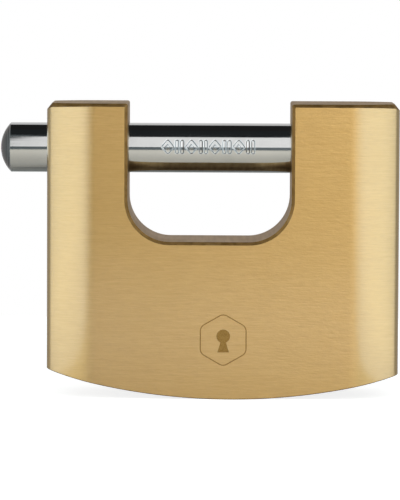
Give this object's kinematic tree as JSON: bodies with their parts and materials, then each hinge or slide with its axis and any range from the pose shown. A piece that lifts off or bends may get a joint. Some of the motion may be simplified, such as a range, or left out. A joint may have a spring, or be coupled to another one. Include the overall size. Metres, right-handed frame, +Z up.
{
  "type": "shutter padlock",
  "caption": "Rectangular solid brass block padlock with a U-shaped gap, rounded ends, an arched base and a straight round steel bolt that slides across the gap.",
  "frame": {"origin": "on the underside at the middle of the body's width and depth, on the base's lowest facet", "axes": "+X to the right along the bolt towards its hidden end, +Y to the rear, +Z up"},
  "size_m": [0.0794, 0.02, 0.0586],
  "materials": {
    "body_brass": "brushed horizontally",
    "bolt_steel": "polished",
    "plug_brass": "machined",
    "hardened_steel": "ground",
    "key_pin": "turned",
    "spring_steel": "drawn wire"
  },
  "bodies": {
    "block": {"body": "body_brass", "bolt_stop_pin": "hardened_steel", "locking_pin_guide": "hardened_steel", "locking_pin_spring": "spring_steel", "plug_retaining_pin": "hardened_steel", "anti_drill_pin_1": "hardened_steel", "anti_drill_pin_2": "hardened_steel", "driver_spring_1": "spring_steel", "driver_spring_2": "spring_steel", "driver_spring_3": "spring_steel", "driver_spring_4": "spring_steel", "driver_spring_5": "spring_steel", "chamber_plug_1": "plug_brass", "chamber_plug_2": "plug_brass", "chamber_plug_3": "plug_brass", "chamber_plug_4": "plug_brass", "chamber_plug_5": "plug_brass"},
    "bolt": {"bolt": "bolt_steel"},
    "plug": {"cylinder_plug": "plug_brass", "keyway_guard_disc": "hardened_steel", "cam_driver": "hardened_steel"},
    "locking_pin": {"locking_pin": "hardened_steel"},
    "driver_1": {"driver_pin_1": "hardened_steel"},
    "key_pin_1": {"key_pin_1": "key_pin"},
    "driver_2": {"driver_pin_2": "hardened_steel"},
    "key_pin_2": {"key_pin_2": "key_pin"},
    "driver_3": {"driver_pin_3": "hardened_steel"},
    "key_pin_3": {"key_pin_3": "key_pin"},
    "driver_4": {"driver_pin_4": "hardened_steel"},
    "key_pin_4": {"key_pin_4": "key_pin"},
    "driver_5": {"driver_pin_5": "hardened_steel"},
    "key_pin_5": {"key_pin_5": "key_pin"}
  },
  "joints": [
    {"name": "bolt_slide", "type": "slide", "parent": "block", "child": "bolt", "axis": [-1, 0, 0], "range_m": [0, 0.05]},
    {"name": "plug_turn", "type": "hinge", "parent": "block", "child": "plug", "pos_m": [0.0243, 0, 0], "axis": [0, 0, 1], "range_deg": [0, 90]},
    {"name": "locking_pin_lift", "type": "slide", "parent": "block", "child": "locking_pin", "axis": [0, 0, 1], "range_m": [0, 0.0022], "deforming": ["locking_pin_spring"]},
    {"name": "driver_slide_1", "type": "slide", "parent": "block", "child": "driver_1", "axis": [-1, 0, 0], "range_m": [0, 0.0016], "stiffness_N_per_m": 60, "springref_m": -0.002, "deforming": ["driver_spring_1"]},
    {"name": "key_pin_slide_1", "type": "slide", "parent": "plug", "child": "key_pin_1", "axis": [0, -1, 0], "range_m": [0, 0.00145]},
    {"name": "driver_slide_2", "type": "slide", "parent": "block", "child": "driver_2", "axis": [-1, 0, 0], "range_m": [0, 0.0016], "stiffness_N_per_m": 60, "springref_m": -0.002, "deforming": ["driver_spring_2"]},
    {"name": "key_pin_slide_2", "type": "slide", "parent": "plug", "child": "key_pin_2", "axis": [0, -1, 0], "range_m": [0, 0.00065]},
    {"name": "driver_slide_3", "type": "slide", "parent": "block", "child": "driver_3", "axis": [-1, 0, 0], "range_m": [0, 0.0016], "stiffness_N_per_m": 60, "springref_m": -0.002, "deforming": ["driver_spring_3"]},
    {"name": "key_pin_slide_3", "type": "slide", "parent": "plug", "child": "key_pin_3", "axis": [0, -1, 0], "range_m": [0, 0.00185]},
    {"name": "driver_slide_4", "type": "slide", "parent": "block", "child": "driver_4", "axis": [-1, 0, 0], "range_m": [0, 0.0016], "stiffness_N_per_m": 60, "springref_m": -0.002, "deforming": ["driver_spring_4"]},
    {"name": "key_pin_slide_4", "type": "slide", "parent": "plug", "child": "key_pin_4", "axis": [0, -1, 0], "range_m": [0, 0.00105]},
    {"name": "driver_slide_5", "type": "slide", "parent": "block", "child": "driver_5", "axis": [-1, 0, 0], "range_m": [0, 0.0016], "stiffness_N_per_m": 60, "springref_m": -0.002, "deforming": ["driver_spring_5"]},
    {"name": "key_pin_slide_5", "type": "slide", "parent": "plug", "child": "key_pin_5", "axis": [0, -1, 0], "range_m": [0, 0.00165]}
  ],
  "couplings": [
    {"joint": "locking_pin_lift", "follows": "plug_turn", "m_per_rad": 0.0014}
  ]
}
